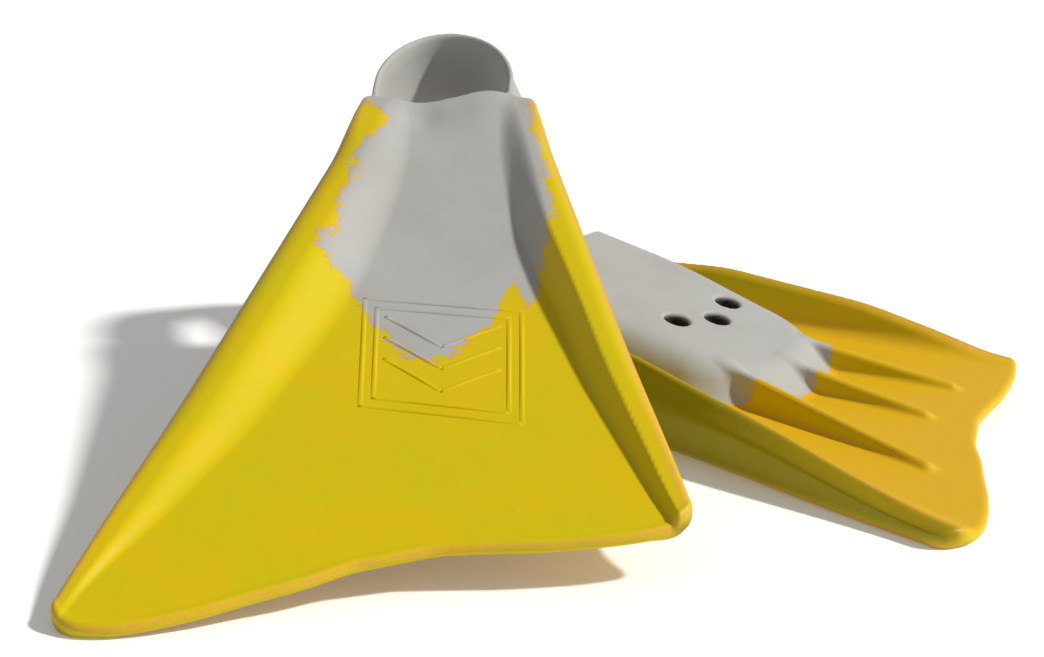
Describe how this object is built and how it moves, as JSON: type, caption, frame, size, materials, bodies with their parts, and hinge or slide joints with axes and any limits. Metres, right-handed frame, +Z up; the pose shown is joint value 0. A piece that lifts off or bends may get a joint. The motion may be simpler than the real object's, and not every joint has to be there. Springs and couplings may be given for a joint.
{
  "type": "pair of bodyboard swim fins",
  "caption": "Pair of short two-tone rubber swim fins with side rails, closed toe pockets, drain holes and open heel straps, one fin resting on the other.",
  "frame": {"origin": "centre of the pair's footprint, on the ground", "axes": "+Z up, +Y from the front fin's blade towards its heel strap, +X towards the rear fin's blade"},
  "size_m": [0.3993, 0.4098, 0.1561],
  "materials": {
    "grey_rubber": "soft matt foot-pocket rubber, light warm grey",
    "yellow_rubber": "stiff satin blade rubber, acid yellow with fine grain",
    "rail_rubber": "stiff satin rail rubber, acid yellow, paler where it is worn"
  },
  "bodies": {
    "left_pocket": {"left_foot_upper": "grey_rubber", "left_sole_plate": "grey_rubber", "left_heel_strap": "grey_rubber", "left_long_rail": "rail_rubber", "left_short_rail": "rail_rubber", "left_blade_root": "yellow_rubber", "left_maker_panel": "yellow_rubber"},
    "left_blade": {"left_blade": "yellow_rubber", "left_long_rail_tip": "rail_rubber", "left_short_rail_tip": "rail_rubber", "left_short_side_rib": "yellow_rubber", "left_centre_rib": "yellow_rubber", "left_long_side_rib": "yellow_rubber"},
    "right_pocket": {"right_foot_upper": "grey_rubber", "right_sole_plate": "grey_rubber", "right_heel_strap": "grey_rubber", "right_long_rail": "rail_rubber", "right_short_rail": "rail_rubber", "right_blade_root": "yellow_rubber", "right_maker_panel": "yellow_rubber"},
    "right_blade": {"right_blade": "yellow_rubber", "right_long_rail_tip": "rail_rubber", "right_short_rail_tip": "rail_rubber", "right_short_side_rib": "yellow_rubber", "right_centre_rib": "yellow_rubber", "right_long_side_rib": "yellow_rubber"}
  },
  "joints": [
    {"name": "left_fin_lift", "type": "slide", "parent": "right_pocket", "child": "left_pocket", "axis": [0, 0, 1], "range_m": [0, 0.2]},
    {"name": "left_blade_flex", "type": "hinge", "parent": "left_pocket", "child": "left_blade", "pos_m": [-0.08663, -0.11353, 0.03134], "axis": [-0.9986, 0.0521, 0.0049], "range_deg": [-10, 10], "stiffness_Nm_per_rad": 40},
    {"name": "right_blade_flex", "type": "hinge", "parent": "right_pocket", "child": "right_blade", "pos_m": [0.10501, 0.01327, 0.011], "axis": [-0.5693, -0.8221, 0], "range_deg": [-10, 10], "stiffness_Nm_per_rad": 40}
  ]
}
